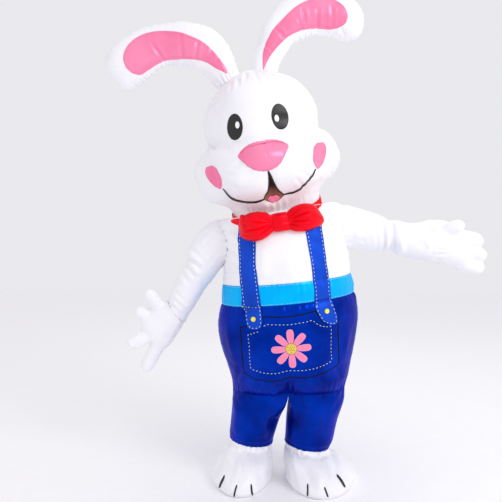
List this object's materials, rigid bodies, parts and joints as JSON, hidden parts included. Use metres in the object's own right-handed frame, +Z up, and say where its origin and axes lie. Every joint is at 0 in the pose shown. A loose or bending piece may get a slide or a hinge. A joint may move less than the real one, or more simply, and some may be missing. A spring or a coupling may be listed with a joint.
{
  "type": "rabbit mascot costume",
  "caption": "Hollow worn rabbit mascot costume in its air-filled pose, with curved ears, bow tie, braces, flower pocket, mitts and shoe covers open underneath.",
  "frame": {"origin": "between the wearer's shoulders, on the wearer's own upright axis, 1.15 m above the floor", "axes": "+Z up, the face looks along -Y, +X to the viewer's right"},
  "size_m": [1.7339, 0.6472, 2.2232],
  "materials": {
    "white_cloth": "satin",
    "white_print": "satin",
    "black_print": "satin",
    "pink_cloth": "satin",
    "window_mesh": "matte",
    "red_cloth": "satin",
    "sky_cloth": "satin",
    "royal_cloth": "satin",
    "strap_cloth": "satin",
    "yellow_button": "glossy"
  },
  "bodies": {
    "root": {"back_placket": "white_cloth", "bow_knot": "red_cloth", "bow_left": "red_cloth", "bow_right": "red_cloth", "button_left": "yellow_button", "button_right": "yellow_button", "cheek_left": "pink_cloth", "cheek_right": "pink_cloth", "ear_left": "white_cloth", "ear_left_inner": "pink_cloth", "ear_right": "white_cloth", "ear_right_inner": "pink_cloth", "eye_left": "black_print", "eye_left_glint": "white_print", "eye_right": "black_print", "eye_right_glint": "white_print", "foot_left": "white_cloth", "foot_right": "white_cloth", "head_back": "white_cloth", "head_front": "white_cloth", "leg_left": "royal_cloth", "leg_right": "royal_cloth", "mitt_left": "white_cloth", "mitt_right": "white_cloth", "mouth_window": "window_mesh", "neck_band": "red_cloth", "nose_lower": "pink_cloth", "nose_upper": "pink_cloth", "pocket": "royal_cloth", "seat_back": "royal_cloth", "seat_front": "royal_cloth", "sleeve_left": "white_cloth", "sleeve_right": "white_cloth", "strap_back_left": "strap_cloth", "strap_back_right": "strap_cloth", "strap_left": "strap_cloth", "strap_right": "strap_cloth", "tongue": "pink_cloth", "torso_back": "white_cloth", "torso_front": "white_cloth", "waist_back": "sky_cloth", "waist_front": "sky_cloth"}
  },
  "joints": []
}
